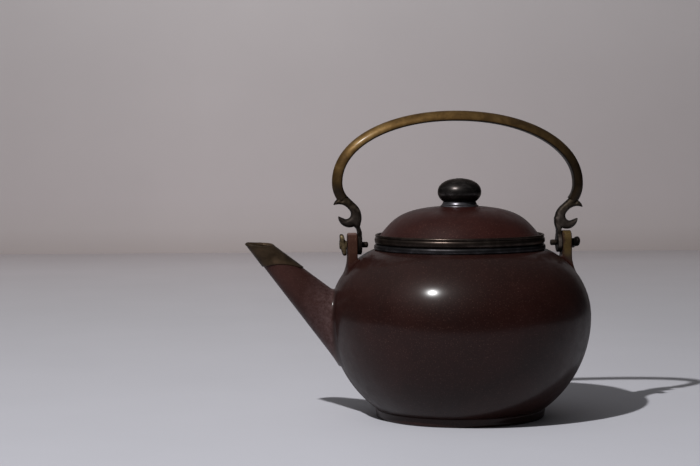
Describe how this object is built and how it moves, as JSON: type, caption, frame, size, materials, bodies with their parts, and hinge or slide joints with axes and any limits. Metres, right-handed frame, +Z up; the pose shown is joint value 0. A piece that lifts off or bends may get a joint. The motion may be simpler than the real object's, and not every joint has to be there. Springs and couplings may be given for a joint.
{
  "type": "loop-handle teapot",
  "caption": "Round unglazed clay teapot with a straight spout, metal-bound rims, a domed lift-off lid with a knob, and a brass bail handle that swings on pivot bolts through clay lugs.",
  "frame": {"origin": "centre of the foot ring on the surface the pot stands on", "axes": "+Z up, spout towards -X, pivot bolts along X, handle swings about X"},
  "size_m": [0.172, 0.13, 0.1519],
  "materials": {
    "clay": "polished unglazed",
    "ochre_clay": "polished unglazed",
    "brass": "aged satin",
    "dark_metal": "dark patina",
    "grey_metal": "worn satin"
  },
  "bodies": {
    "pot": {"pot_floor": "clay", "lower_bowl": "clay", "shoulder": "clay", "foot_ring": "clay", "spout": "clay", "spout_ferrule": "grey_metal", "mouth_band": "grey_metal", "front_lug": "clay", "rear_lug": "ochre_clay", "front_bolt": "dark_metal", "rear_bolt": "dark_metal"},
    "lid": {"lid_dome": "clay", "lid_flange": "clay", "lid_band": "grey_metal", "knob_collar": "grey_metal", "knob": "grey_metal", "knob_stud": "grey_metal", "knob_washer": "grey_metal"},
    "handle": {"bail_grip": "brass", "front_hanger": "dark_metal", "rear_hanger": "dark_metal"},
    "front_nut": {"front_wing_nut": "brass"},
    "rear_nut": {"rear_wing_nut": "dark_metal"}
  },
  "joints": [
    {"name": "lid_lift", "type": "slide", "parent": "pot", "child": "lid", "axis": [0, 0, 1], "range_m": [0, 0.025]},
    {"name": "handle_swing", "type": "hinge", "parent": "pot", "child": "handle", "pos_m": [0, 0, 0.08597], "axis": [1, 0, 0], "range_deg": [-100, 100]},
    {"name": "front_nut_turn", "type": "hinge", "parent": "pot", "child": "front_nut", "pos_m": [-0.05825, 0, 0.08597], "axis": [1, 0, 0], "continuous": true},
    {"name": "rear_nut_turn", "type": "hinge", "parent": "pot", "child": "rear_nut", "pos_m": [0.05825, 0, 0.08597], "axis": [1, 0, 0], "continuous": true}
  ]
}
